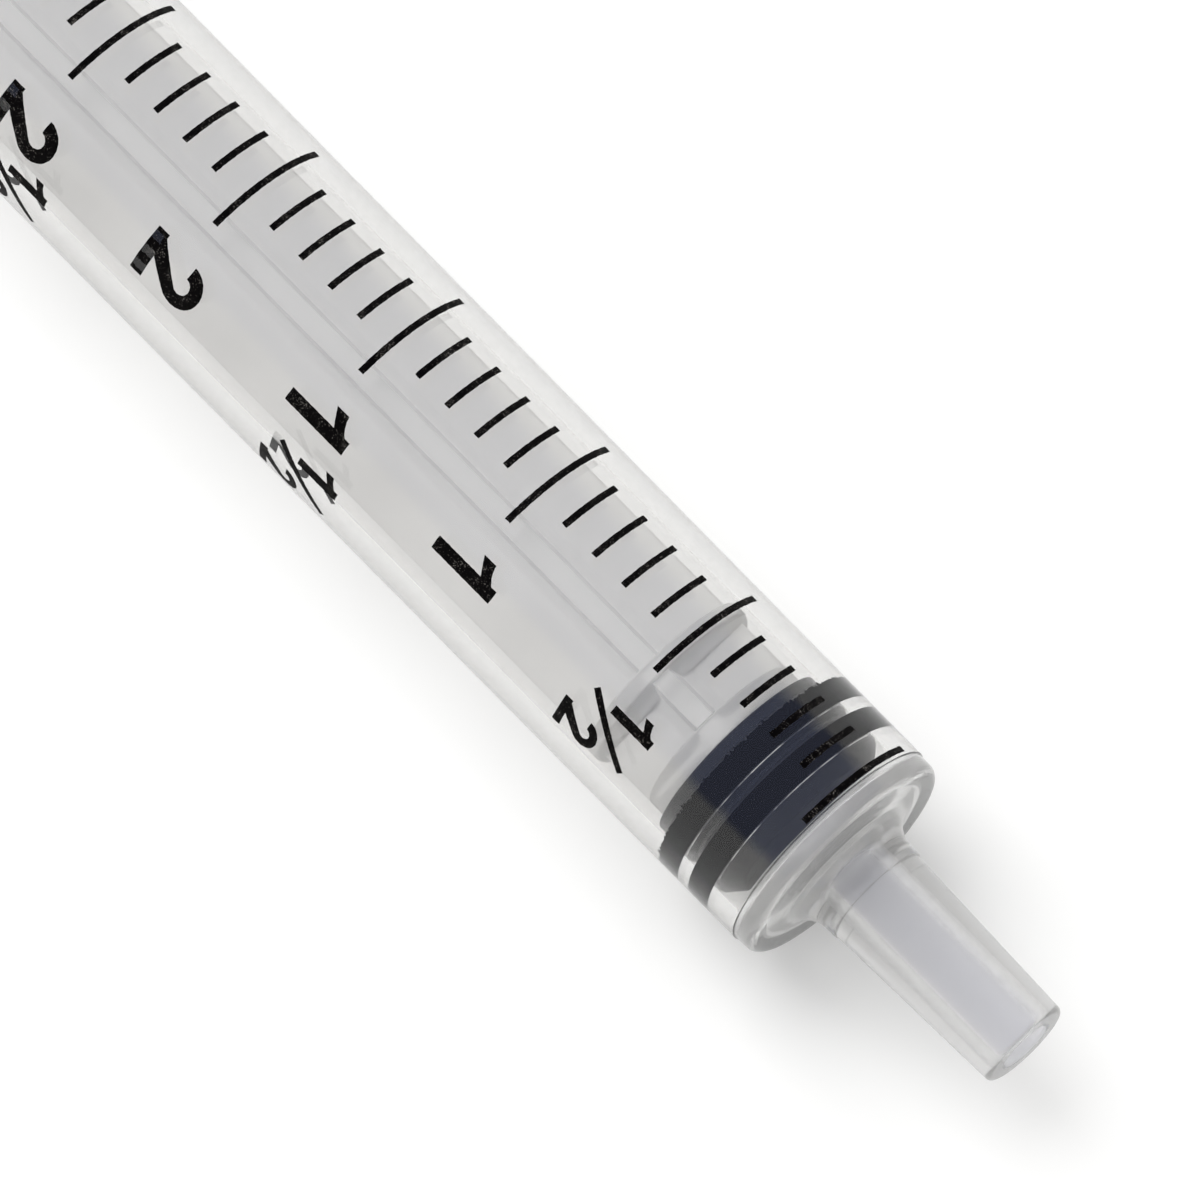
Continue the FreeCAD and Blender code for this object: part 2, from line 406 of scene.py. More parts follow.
CLEAR_PLASTIC = clear_plastic(
    "clear_plastic", haze=0.03, unevenness=0.012, transmission=0.995, film=0.99, dimming=225.0)
THICK_PLASTIC = clear_plastic(
    "thick_plastic", haze=0.13, unevenness=0.04, transmission=0.80, film=0.86, dimming=200.0)
print("made", CLEAR_PLASTIC.name, "and", THICK_PLASTIC.name)

# %% [markdown]
# The rod is so milky that light spreads inside it, and its edges hardly show through the tube. A low
# refractive index gives the same soft edges at once, where a scattering volume would take far longer to
# render.

# %% The rod's milky plastic
def milky_plastic():
    """Milky polypropylene: it hardly bends light but blurs it, and scatters half of it."""
    material, tree, output = new_material("milky_plastic")
    skin = moulded_skin(tree, scale=3000.0, roughness=0.48, amount=0.1)
    shader = add(tree, "ShaderNodeBsdfPrincipled", {
        "Base Color": (0.88, 0.875, 0.868, 1.0),
        "Roughness": skin["Roughness"],
        "IOR": 1.14,
        "Transmission Weight": 0.5,
        "Normal": bump(tree, skin["Height"], strength=0.02, depth=0.05 * MM),
    })
    through = let_lamps_through(tree, shader.outputs[0], (0.97, 0.97, 0.97, 1.0))
    tree.links.new(through, output.inputs["Surface"])
    return material


MILKY_PLASTIC = milky_plastic()
print("made", MILKY_PLASTIC.name, "with", len(MILKY_PLASTIC.node_tree.nodes), "nodes")

# %% [markdown]
# ## Rubber and ink
#
# The stopper is black rubber with a film of silicone oil, so its gloss is soft. Where it is pressed
# against the wall there is no air between them, and it has no gloss of its own.

# %% Rubber
RUBBER_GRAIN = 5000.0


def black_rubber():
    """Black rubber with soft gloss: a near-black colour that drifts a little, and a fine grain."""
    material, tree, output = new_material("black_rubber")
    skin = moulded_skin(tree, scale=RUBBER_GRAIN, roughness=0.42, amount=0.25)
    shader = add(tree, "ShaderNodeBsdfPrincipled", {
        "Base Color": blend(tree, skin["Drift"], (0.004, 0.004, 0.005, 1.0), (0.012, 0.012, 0.014, 1.0)),
        "Roughness": skin["Roughness"],
        "Specular IOR Level": 0.3,
        "Normal": bump(tree, skin["Height"], strength=0.2, depth=0.02 * MM),
    })
    tree.links.new(shader.outputs[0], output.inputs["Surface"])
    return material


def pressed_rubber():
    """The same rubber where it is pressed against the wall: darker, and with no gloss."""
    material, tree, output = new_material("pressed_rubber")
    skin = moulded_skin(tree, scale=RUBBER_GRAIN, roughness=0.6, amount=0.1)
    shader = add(tree, "ShaderNodeBsdfPrincipled", {
        "Base Color": blend(tree, skin["Drift"], (0.0, 0.0, 0.0005, 1.0), (0.003, 0.003, 0.004, 1.0)),
        "Roughness": skin["Roughness"],
        "Specular IOR Level": 0.0,
    })
    tree.links.new(shader.outputs[0], output.inputs["Surface"])
    return material


BLACK_RUBBER = black_rubber()
PRESSED_RUBBER = pressed_rubber()
print("made", BLACK_RUBBER.name, "and", PRESSED_RUBBER.name)

# %% [markdown]
# The print is a thin, slightly starved coat of black ink: fine pale specks show where the ink did not
# take.

# %% Ink, and the painted highlight along the ribs
INK_BLACK = (0.0012, 0.0008, 0.0007, 1.0)
INK_SPECKS = (0.13, 0.12, 0.11, 1.0)
# Pale colours of the painted highlight along the ribs' edges, where light is mirrored
HIGHLIGHT_FAINT = (0.06, 0.06, 0.07, 1.0)
HIGHLIGHT_BRIGHT = (0.75, 0.75, 0.74, 1.0)


def print_ink():
    """Black ink with pale specks: noise above a high threshold turns it grey, more in some patches."""
    material, tree, output = new_material("print_ink")
    place = object_place(tree)
    grain = noise(tree, place, scale=16000.0)
    patches = noise(tree, place, scale=2200.0, detail=1.0)
    specks = ramp(tree, calculate(tree, "MULTIPLY_ADD", patches, 0.35, grain), start=0.78, end=0.91)
    shader = add(tree, "ShaderNodeBsdfPrincipled", {
        "Base Color": blend(tree, specks, INK_BLACK, INK_SPECKS),
        "Roughness": 0.55,
        "Specular IOR Level": 0.04,
        "Normal": bump(tree, grain, strength=0.3, depth=0.01 * MM),
    })
    tree.links.new(shader.outputs[0], output.inputs["Surface"])
    return material


def painted_rib_highlight():
    """A painted highlight along the ribs' edges: pale and glossy, it comes and goes round the stopper."""
    material, tree, output = new_material("painted_rib_highlight")
    patches = noise(tree, object_place(tree), scale=900.0, detail=3.0)
    amount = ramp(tree, patches, start=0.42, end=0.62)
    shader = add(tree, "ShaderNodeBsdfPrincipled", {
        "Base Color": blend(tree, amount, HIGHLIGHT_FAINT, HIGHLIGHT_BRIGHT),
        "Roughness": 0.25,
    })
    tree.links.new(shader.outputs[0], output.inputs["Surface"])
    return material


PRINT_INK = print_ink()
RIB_HIGHLIGHT = painted_rib_highlight()
print("materials", [m.name for m in bpy.data.materials])

# %% [markdown]
# ## The barrel
#
# On the real syringe the barrel is one injection moulding: a luer nozzle with its lumen, a neck, a front
# wall, the tube, a finger flange with two flats, and a bead inside the mouth that keeps the rod in. It
# could be built from tubes and discs joined with booleans, but faces left inside clear plastic would bend
# the light twice. So it is one loop of outline, out along the outside and back along the bore, carried
# once round the axis.

# %% Measures of the barrel
barrel_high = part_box("barrel")[1]
BARREL_END = barrel_high.x / MM
FLANGE_REACH = barrel_high.y / MM
FLANGE_FLAT = barrel_high.z / MM

NOZZLE_TIP_RADIUS = 2.005
LUER_TAPER = 0.06
NOZZLE_LENGTH = 8.45
LUMEN_RADIUS = 1.05
LUMEN_CHAMFER = 0.10
NECK_STEP = 0.07
FRONT_WALL = 10.25
BAND_END = 11.26
BORE_RADIUS = 4.33
BORE_START = 11.25
BORE_CORNER = 0.22
BORE_END_SLOPE = 0.364
LUMEN_END = 10.056
TUBE_RADIUS = 5.16
TUBE_GROWTH = 0.00307
BAND_STEP = 0.06
FLANGE_THICKNESS = 1.80
FLANGE_ROOT = 0.90
FLANGE_EDGE = 0.45
BEAD_HEIGHT = 0.36
BEAD_FRONT_SLOPE = 0.36
BEAD_CREST = 0.35
BEAD_REAR_SLOPE = 0.70
MOUTH_CHAMFER = 0.45


def tube_radius_at(x):
    """Outside radius of the tube in mm: its front radius plus a fixed growth for each mm to the rear."""
    return TUBE_RADIUS + TUBE_GROWTH * (x - BAND_END)


print("the tube's radius grows by", round(tube_radius_at(BARREL_END) - TUBE_RADIUS, 3), "mm to the rear")

# %% The loop of the barrel's wall
def barrel_outline():
    """The outline: outside from tip to flange, then bead, bore, cone and lumen back to the tip."""
    nozzle_root = NOZZLE_TIP_RADIUS + LUER_TAPER * NOZZLE_LENGTH / 2
    neck = nozzle_root + NECK_STEP
    band = TUBE_RADIUS - BAND_STEP
    flange_front = BARREL_END - FLANGE_THICKNESS
    bead_end = BARREL_END - MOUTH_CHAMFER
    crest_end = bead_end - BEAD_REAR_SLOPE
    crest_start = crest_end - BEAD_CREST
    bead = BORE_RADIUS - BEAD_HEIGHT
    return rounded([
        (0, LUMEN_RADIUS + LUMEN_CHAMFER, 0.04),
        (0, NOZZLE_TIP_RADIUS, 0.22),
        (NOZZLE_LENGTH, nozzle_root, 0.02),
        (NOZZLE_LENGTH, neck, 0.03),
        (FRONT_WALL, neck, 1.30),
        (FRONT_WALL, band, 0.45),
        (BAND_END, band, 0.02),
        (BAND_END, TUBE_RADIUS, 0.03),
        (flange_front, tube_radius_at(flange_front), FLANGE_ROOT),
        (flange_front, FLANGE_REACH, FLANGE_EDGE),
        (BARREL_END, FLANGE_REACH, FLANGE_EDGE),
        (BARREL_END, BORE_RADIUS + MOUTH_CHAMFER, 0.10),
        (bead_end, BORE_RADIUS, 0.08),
        (crest_end, bead, 0.15),
        (crest_start, bead, 0.15),
        (crest_start - BEAD_FRONT_SLOPE, BORE_RADIUS, 0.15),
        (BORE_START + BORE_CORNER, BORE_RADIUS, 0.12),
        (BORE_START - BORE_CORNER * BORE_END_SLOPE, BORE_RADIUS - BORE_CORNER, 0.12),
        (LUMEN_END, LUMEN_RADIUS, 0.20),
        (LUMEN_CHAMFER, LUMEN_RADIUS, 0.04),
    ], closed=True)


wall = barrel_outline()
print("outline of the barrel:", len(wall), "points")

# %% [markdown]
# The flange isn't round: two flats above and below stop the syringe from rolling. Its rim is the smaller
# of a circle and a pair of lines, and a smooth minimum rounds the corner between them. The fillets at the
# root and at the rim keep their size where the flange is narrow, and only the flat part between them
# shrinks.

# %% The flange and its flats
CORNER_POWER = 26.0
ROOT_SHARE = 0.6
EDGE_SHARE = 0.4


def flange_rim(angle):
    """Reach of the flange in mm: a smooth minimum of the circle's radius and the flats' distance."""
    flats = FLANGE_FLAT / np.maximum(np.abs(np.cos(angle)), 1e-3)
    return (FLANGE_REACH ** -CORNER_POWER + flats ** -CORNER_POWER) ** (-1 / CORNER_POWER)


def fit_flange(x, radius, angle):
    """Pulls the round flange in to its rim: root and edge keep their sizes where there is room."""
    root_radius = tube_radius_at(BARREL_END - FLANGE_THICKNESS)
    full = FLANGE_REACH - root_radius
    room = flange_rim(angle) - root_radius
    root = np.minimum(FLANGE_ROOT, ROOT_SHARE * room)
    edge = np.minimum(FLANGE_EDGE, EDGE_SHARE * room)
    out = np.clip(radius - root_radius, 0, full)
    near_root = np.clip(out, 0, FLANGE_ROOT) * root / FLANGE_ROOT
    between = np.clip(out - FLANGE_ROOT, 0, full - FLANGE_ROOT - FLANGE_EDGE)
    middle = between * (room - root - edge) / (full - FLANGE_ROOT - FLANGE_EDGE)
    near_edge = np.clip(out - (full - FLANGE_EDGE), 0, FLANGE_EDGE) * edge / FLANGE_EDGE
    on_flange = (x > BARREL_END - FLANGE_THICKNESS - 2 * FLANGE_ROOT) & (radius > root_radius)
    return np.where(on_flange, root_radius + near_root + middle + near_edge, radius)


rim = flange_rim(np.radians([0, 90]))
print("the flange reaches", [round(float(reach), 2) for reach in rim], "mm above and to the side")

# %% The barrel's skin
BARREL_COLUMNS = 256
angles = np.linspace(0, 2 * math.pi, BARREL_COLUMNS, endpoint=False)[None, :]
wall_x, wall_radius = wall[:, :1] / MM, wall[:, 1:] / MM
barrel_grid = on_axis(wall_x, fit_flange(wall_x, wall_radius, angles), angles) * MM
barrel_points, barrel_faces = closed_skin(barrel_grid, loop=True)
barrel_shell = make_piece("barrel_shell", barrel_points, barrel_faces, CLEAR_PLASTIC)
barrel_shell.data.materials.append(THICK_PLASTIC)
middle_x = barrel_points[np.array(barrel_faces), 0].mean(1) / MM
barrel_shell.data.polygons.foreach_set("material_index", (middle_x < BAND_END).astype(np.int32))
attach(barrel_shell, "barrel")
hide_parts("barrel")

# %% [markdown]
# ## The stopper
#
# The stopper is moulded rubber: a conical nose, two ribs that seal against the bore, a groove between
# them, a skirt and a socket for the rod's head. Where a rib is pressed against the wall there is no air
# left between them, and the rubber looks black right up to the barrel's edge. Elsewhere a film of air
# mirrors the light. So the ribs reach a hundredth of a millimetre into the wall, and nothing else touches
# it.

# %% Outline of the stopper
RIB_FRONT = 12.90
RIB_WIDTH = 1.10
RIB_GAP = 0.59
SECOND_RIB = RIB_FRONT + RIB_WIDTH + RIB_GAP
RIB_BITE = 0.012
GROOVE_RADIUS = 3.89
GROOVE_SLOPE = 0.20
SKIRT_RADIUS = 4.20
SKIRT_SLOPE = 0.11
NOSE_RADIUS = 0.60
CONE_END = 12.25
CONE_RADIUS = 3.50
SOCKET_FRONT = 13.34
SOCKET_SHOULDER = 13.91
SOCKET_REAR = 15.12
SOCKET_FRONT_RADIUS = 1.39
SOCKET_RADIUS = 2.49
SOCKET_MOUTH_RADIUS = 1.64
stopper_low, stopper_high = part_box("plunger_stopper")
NOSE_TIP = stopper_low.x / MM
STOPPER_REAR = stopper_high.x / MM


def stopper_outline():
    """From the tip of the nose along the ribs to the rear, then down the socket to its end on the axis."""
    rib = BORE_RADIUS + RIB_BITE
    rear = SECOND_RIB + RIB_WIDTH
    return rounded([
        (NOSE_TIP, 0, 0),
        (NOSE_TIP, NOSE_RADIUS, 0.45),
        (CONE_END, CONE_RADIUS, 0.30),
        (RIB_FRONT, rib, 0.05),
        (RIB_FRONT + RIB_WIDTH, rib, 0.05),
        (RIB_FRONT + RIB_WIDTH + GROOVE_SLOPE, GROOVE_RADIUS, 0.12),
        (SECOND_RIB - GROOVE_SLOPE, GROOVE_RADIUS, 0.12),
        (SECOND_RIB, rib, 0.05),
        (rear, rib, 0.03),
        (rear + SKIRT_SLOPE, SKIRT_RADIUS, 0.05),
        (STOPPER_REAR, SKIRT_RADIUS, 0.12),
        (STOPPER_REAR, SOCKET_MOUTH_RADIUS, 0.15),
        (SOCKET_REAR, SOCKET_MOUTH_RADIUS, 0.10),
        (SOCKET_REAR, SOCKET_RADIUS, 0.10),
        (SOCKET_SHOULDER, SOCKET_RADIUS, 0.20),
        (SOCKET_FRONT, SOCKET_FRONT_RADIUS, 0.20),
        (SOCKET_FRONT, 0, 0),
    ])


rubber_outline = stopper_outline()
print("outline of the stopper:", len(rubber_outline), "points")

# %% [markdown]
# The rear edge of the last rib isn't a clean circle: the squeezed rubber ends in small waves and teeth,
# which come and go round the bore.

# %% The ragged edge
RAGGEDNESS = 0.09
RAGGED_WIDTH = 0.05


def ragged(angle):
    """A wandering edge, mostly within -1 and 1: waves of six lengths round the circle, with shifts that
    never line up, and with a strength that comes and goes."""
    turns = np.array([19, 43, 71, 97, 131, 167])[:, None]
    shifts = np.arange(6)[:, None] * 2.4
    strength = 0.55 + 0.45 * np.sin(5 * angle) * np.sin(13 * angle + 1.0)
    return strength * np.sin(turns * angle + shifts).sum(0) / 2.5


whole_turn = np.linspace(0, 2 * math.pi, 1000)
print("the edge wanders up to", round(RAGGEDNESS * float(np.abs(ragged(whole_turn)).max()), 3), "mm")

# %% The stopper's skin
STOPPER_COLUMNS = 800
angles = np.linspace(0, 2 * math.pi, STOPPER_COLUMNS, endpoint=False)[None, :]
rubber_x = np.repeat(rubber_outline[:, :1] / MM, STOPPER_COLUMNS, 1)
last_rib_edge = np.exp(-((rubber_x - SECOND_RIB - RIB_WIDTH) / RAGGED_WIDTH) ** 2)
rubber_x = rubber_x + RAGGEDNESS * ragged(angles) * last_rib_edge
stopper_grid = on_axis(rubber_x * MM, rubber_outline[:, 1:], angles)
stopper_points, stopper_faces = closed_skin(stopper_grid, loop=False)
stopper_rubber = make_piece("stopper_rubber", stopper_points, stopper_faces, BLACK_RUBBER)
stopper_rubber.data.materials.append(PRESSED_RUBBER)
from_axis = np.linalg.norm(stopper_points[:, 1:], axis=1)
pressed = [int(from_axis[list(face)].min() > BORE_RADIUS * MM) for face in stopper_faces]
stopper_rubber.data.polygons.foreach_set("material_index", np.array(pressed, np.int32))
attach(stopper_rubber, "stopper")
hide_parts("plunger_stopper")

# %% [markdown]
# Where the ribs lift off the wall, light is mirrored along the rubber in a fine bright line, in the narrow
# wedge. That line is a painted highlight: each is a thin ring of round section in a pale colour, in place
# of the reflection.

# %% The rings of painted highlight
HIGHLIGHT_SIZE = 0.028
HIGHLIGHT_INSET = 0.032
HIGHLIGHT_AHEAD = 0.055


def highlight_ring(x, columns=256):
    """Points and faces of a ring of round section in the wedge at this X, just inside the bore."""
    turn = np.linspace(0, 2 * math.pi, 8, endpoint=False)[:, None]
    angle = np.linspace(0, 2 * math.pi, columns, endpoint=False)[None, :]
    size = HIGHLIGHT_SIZE * (0.8 + 0.2 * ragged(angle.ravel()))[None, :]
    radius = BORE_RADIUS - HIGHLIGHT_INSET + size * np.sin(turn)
    return closed_skin(on_axis(x - size * np.cos(turn), radius, angle) * MM, loop=True)


# Painted highlight: a pale ring just ahead of each rib
highlight_rings = [highlight_ring(SECOND_RIB - HIGHLIGHT_AHEAD), highlight_ring(RIB_FRONT - HIGHLIGHT_AHEAD)]
painted_highlight_lines = make_piece("painted_highlight_lines", *merge(highlight_rings), RIB_HIGHLIGHT)
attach(painted_highlight_lines, "stopper")

# %% [markdown]
# ## The plunger rod
#
# The rod is one moulding: a head that clips into the stopper, two discs, four fins and a thumb rest. Seen
# along its length it is a cross, and every ray from the axis leaves the cross only once. So the whole rod
# can be one skin, with a radius for each place along it and each angle. The cross comes from straight
# lines written as radii.

# %% Cross section of the fins
ROD_TURN = math.radians(-12.9)
FIN_RADIUS = 3.77
FIN_HALF_EDGE = 0.40
FIN_HALF_ROOT = 0.575
ROOT_CHAMFER = 0.45
ROOT_ROUNDING = 0.12
END_ROUNDING = 0.05


def fin_angles():
    """Angles round the rod, close together on the fins' ends and corners, wider apart on their flanks."""
    edge = math.atan2(FIN_HALF_EDGE, FIN_RADIUS)
    half = np.concatenate([
        np.linspace(0, edge * 0.8, 4, endpoint=False),
        np.linspace(edge * 0.8, edge * 1.2, 7, endpoint=False),
        edge * 1.2 * np.linspace(1, (math.pi / 4 / (edge * 1.2)) ** 0.5, 22, endpoint=False) ** 2,
    ])
    quarter = np.concatenate([half, [math.pi / 4], math.pi / 2 - half[:0:-1]])
    return (quarter[None, :] + np.arange(4)[:, None] * math.pi / 2).reshape(1, -1)


def smooth_larger(a, b, softness):
    """The larger of two values, with the corner between them rounded over about the softness:
    (a + b + sqrt((a - b)^2 + softness^2)) / 2."""
    return 0.5 * (a + b + np.sqrt((a - b) ** 2 + softness ** 2))


def fin_reach(angle):
    """Distance in mm from the axis to the cross's edge: the fin's flank, flat end and rounded root."""
    folded = np.abs((angle + math.pi / 4) % (math.pi / 2) - math.pi / 4)
    corner = FIN_HALF_ROOT + ROOT_CHAMFER
    slope = (FIN_HALF_ROOT - FIN_HALF_EDGE) / (FIN_RADIUS - corner)
    flank = (FIN_HALF_EDGE + slope * FIN_RADIUS) / (np.sin(folded) + slope * np.cos(folded))
    end = FIN_RADIUS / np.cos(folded)
    root = (corner + FIN_HALF_ROOT) / (np.sin(folded) + np.cos(folded))
    fin = -smooth_larger(-flank, -end, END_ROUNDING)
    return np.minimum(smooth_larger(fin, root, ROOT_ROUNDING), FIN_RADIUS)


around = fin_angles()
cross = fin_reach(around)
print("fins reach", round(float(cross.max()), 3), "mm, their roots", round(float(cross.min()), 3), "mm")

# %% [markdown]
# Along the rod the radius changes between circles, for the head, discs and thumb rest, and the cross.
# Each row of the skin is either a circle or the cross grown by a small fillet, so a fin meets a disc in a
# soft corner, as it does on a moulding.

# %% Measures along the rod
rod_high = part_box("plunger_rod")[1]
HEAD_LENGTH = 3.0
HEAD_CONE = 0.55
HEAD_RADIUS = 2.45
HEAD_TIP_RADIUS = 1.35
STEM_LENGTH = 1.30
STEM_RADIUS = 1.60
FRONT_DISC = 16.38
FRONT_DISC_THICKNESS = 1.07
FRONT_DISC_RADIUS = FIN_RADIUS + 0.005
REAR_DISC = 19.98
REAR_DISC_THICKNESS = 0.71
REAR_DISC_RADIUS = 4.10
THUMB_THICKNESS = 1.50
THUMB_RADIUS = rod_high.y / MM
THUMB_EDGE = 0.40
RING_HEIGHT = 0.18
RING_WIDTH = 0.22
THUMB_REAR = rod_high.x / MM - RING_HEIGHT
GUSSET_LENGTH = 2.20
GUSSET_ROUNDING = 0.2
GUSSET_SINK = 0.02
GRIP_RINGS = (1.70, 3.20, 4.70)
FIN_FILLET = 0.14
FIN_INSET = 0.002
print("the rod runs from", round(FRONT_DISC - HEAD_LENGTH, 2), "to", round(rod_high.x / MM, 2), "mm")

# %% Rows along the rod
def circles(outline):
    """Rows of the rod that are circles, from an outline of (x, radius) in metres."""
    return [(x / MM, np.full_like(cross, radius / MM)) for x, radius in outline]


def fin_rows(disc_face, direction, limit):
    """Rows that leave a disc's face and settle on the cross, through a quarter-round fillet."""
    rows = []
    for turn in np.linspace(0, math.pi / 2, 5):
        x = disc_face + direction * FIN_FILLET * (1 - math.cos(turn))
        grown = cross + FIN_FILLET * (1 - math.sin(turn))
        rows.append((x, np.minimum(grown, limit - FIN_INSET)))
    return rows


def gusset_rows(thumb_front):
    """Rows where a cone rises between the fins and carries them into the thumb rest."""
    rows = []
    for share in np.linspace(0, 1, 12):
        x = thumb_front - GUSSET_LENGTH * (1 - share)
        cone = FIN_HALF_ROOT + GUSSET_LENGTH * share
        rows.append((x, smooth_larger(cross, cone, GUSSET_ROUNDING) - GUSSET_SINK))
    return rows


def thumb_back():
    """The back of the thumb rest, from its rim to the axis: a flat face with low rounded rings."""
    radius = np.linspace(THUMB_RADIUS - THUMB_EDGE, 0, 140)[1:]
    height = sum(np.exp(-((radius - ring) / RING_WIDTH) ** 4) for ring in GRIP_RINGS) * RING_HEIGHT
    return np.stack([THUMB_REAR + height, radius], -1) * MM


print("the back of the thumb rest has", len(thumb_back()), "circles")

# %% Head, discs and thumb rest in their order
def rod_rows():
    """Every row of the rod as (x, radii in mm), from the front of the head to the back of the thumb rest.

    A corner at a radius of 3 or 4 mm only gives the rounding beside it a direction, and is left out
    again."""
    tip = FRONT_DISC - HEAD_LENGTH
    stem = FRONT_DISC - STEM_LENGTH
    front_disc_end = FRONT_DISC + FRONT_DISC_THICKNESS
    rear_disc_end = REAR_DISC + REAR_DISC_THICKNESS
    thumb_front = THUMB_REAR - THUMB_THICKNESS
    head = rounded([
        (tip, 0, 0),
        (tip, HEAD_TIP_RADIUS, 0.2),
        (tip + HEAD_CONE, HEAD_RADIUS, 0.2),
        (stem, HEAD_RADIUS, 0.15),
        (stem, STEM_RADIUS, 0.1),
        (FRONT_DISC, STEM_RADIUS, 0.1),
        (FRONT_DISC, FRONT_DISC_RADIUS, 0.12),
        (front_disc_end, FRONT_DISC_RADIUS, 0.12),
        (front_disc_end, 3.0, 0),
    ])[:-1]
    rear_disc = rounded([
        (REAR_DISC, 3.0, 0),
        (REAR_DISC, REAR_DISC_RADIUS, 0.12),
        (rear_disc_end, REAR_DISC_RADIUS, 0.12),
        (rear_disc_end, 3.0, 0),
    ])[1:-1]
    thumb_rim = rounded([
        (thumb_front, 4.0, 0),
        (thumb_front, THUMB_RADIUS, THUMB_EDGE),
        (THUMB_REAR, THUMB_RADIUS, THUMB_EDGE),
        (THUMB_REAR, 4.0, 0),
    ])[1:-1]
    rows = circles(head)
    rows += fin_rows(front_disc_end, 1, FRONT_DISC_RADIUS)
    rows += fin_rows(REAR_DISC, -1, FRONT_DISC_RADIUS)[::-1]
    rows += circles(rear_disc)
    rows += fin_rows(rear_disc_end, 1, REAR_DISC_RADIUS)
    rows += gusset_rows(thumb_front)
    return rows + circles(thumb_rim) + circles(thumb_back())


rows = rod_rows()
print("the rod has", len(rows), "rows of", cross.size, "points")

# %% [markdown]
# The milky rod throws no shadow of its own: the light that it takes from one place it gives back close
# by.

# %% The rod's skin
rod_x = np.array([row[0] for row in rows])[:, None]
rod_radius = np.concatenate([row[1] for row in rows])
rod_grid = on_axis(rod_x * MM, rod_radius * MM, around + ROD_TURN)
rod_points, rod_faces = closed_skin(rod_grid, loop=False)
rod_moulding = make_piece("rod_moulding", rod_points, rod_faces, MILKY_PLASTIC)
rod_moulding.visible_shadow = False
rod_moulding.visible_diffuse = False
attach(rod_moulding, "rod")
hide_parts("plunger_rod")

# %% [markdown]
# ## The scale
#
# The scale is screen-printed ink. It could be an image wrapped on the barrel, but close up its edges
# would blur. Here every line and numeral is a thin slab of ink laid on the tube: a flat grid of (along
# the arc, along the barrel) that is wrapped round the tube and given a top, an underside sunk into the
# wall, and sides.

# %% Lay ink on the tube
ZERO_LINE = 11.54
TENTH = 1.6976
LAST_TENTH = 30
LINE_WIDTH = 0.29
INK_ABOVE = 0.008
INK_BELOW = 0.006
INK_LIFT = 0.002
PRINT_TURN = math.radians(12.9)
ARC_RADIUS = 5.2
EDGE_WANDER = 0.015
SHARP_INK = 40.0


def wander(a, b):
    """A small unevenness from -1 to 1 that changes over a few tenths of a mm: a sum of crossed waves."""
    waves = [(23.0, 11.0, 0.3), (-17.0, 29.0, 1.9), (41.0, -7.0, 4.1), (9.0, 47.0, 2.6)]
    return sum(np.sin(p * a + q * b + r) for p, q, r in waves) / len(waves)


def slab(arc, along, lift=0.0):
    """Points and quads of one closed slab of ink, from grids of arc length and place along in mm.

    The angle of a point is its arc over the arc radius, less the turn of the print. Its distance from the
    axis is the tube's radius there, plus the ink above or less the ink below."""
    angle = (arc + EDGE_WANDER * wander(along, arc)) / ARC_RADIUS - PRINT_TURN
    along = along + EDGE_WANDER * wander(arc, along)
    surface = tube_radius_at(along)
    top = on_axis(along, surface + INK_ABOVE + lift, angle).reshape(-1, 3)
    under = on_axis(along, surface - INK_BELOW, angle).reshape(-1, 3)
    rows, columns = arc.shape
    index = np.arange(rows * columns).reshape(rows, columns)
    quads = np.stack([index[:-1, :-1], index[1:, :-1], index[1:, 1:], index[:-1, 1:]], -1).reshape(-1, 4)
    rim = np.concatenate([index[0, :-1], index[:-1, -1], index[-1, :0:-1], index[:0:-1, 0]])
    rim_next = np.roll(rim, -1)
    count = rows * columns
    sides = np.stack([rim, rim_next, rim_next + count, rim + count], -1)
    return np.concatenate([top, under]) * MM, np.concatenate([quads, quads[:, ::-1] + count, sides])


print("the scale has", LAST_TENTH, "steps over", round(LAST_TENTH * TENTH, 2), "mm")

# %% [markdown]
# The lines come every tenth of a millilitre. The line at each half is long, the others are short.

# %% Scale lines
LONG_LINE = (0.0, 6.1)
SHORT_LINE = (1.48, 4.5)
INK_STEP = 0.09


def scale_line(place, ends):
    """One line across the tube at this place along the barrel, from one arc length to the other."""
    steps = int((ends[1] - ends[0]) / INK_STEP)
    arc, across = np.meshgrid(np.linspace(*ends, steps), np.linspace(-0.5, 0.5, 4), indexing="ij")
    return slab(arc, place + across * LINE_WIDTH)


lines = [
    scale_line(ZERO_LINE + tenth * TENTH, LONG_LINE if tenth % 5 == 0 else SHORT_LINE)
    for tenth in range(LAST_TENTH + 1)
]
scale_lines = make_piece("scale_lines", *merge(lines), PRINT_INK, sharp_angle=SHARP_INK)
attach(scale_lines, "barrel")

# %% [markdown]
# The numerals are plain, heavy and upright, read with the nozzle up. Each is made from strokes. A stroke
# is the strip between two edges, and each edge is a curve that the same parameter runs along. Numerals
# are drawn on a small page, x to the right and y up from the foot, and then laid on the tube.

# %% Strokes of the numerals
def strip(first, second, across=4):
    """The strip between two edges, each an array of (x, y) points: a grid of page positions."""
    share = np.linspace(0, 1, across)[None, :, None]
    return first[:, None, :] * (1 - share) + second[:, None, :] * share


def line(start, end):
    """A straight edge from start to end, with a point about every ink step."""
    steps = max(3, int(math.dist(start, end) / INK_STEP))
    return np.linspace(start, end, steps)


def straight(start, end, steps=18):
    """A straight edge that goes on from the start, which it leaves out, to the end."""
    return np.linspace(start, end, steps + 1)[1:]


def bar(x0, y0, x1, y1):
    """An upright rectangle of ink."""
    return strip(line((x0, y0), (x0, y1)), line((x1, y0), (x1, y1)))


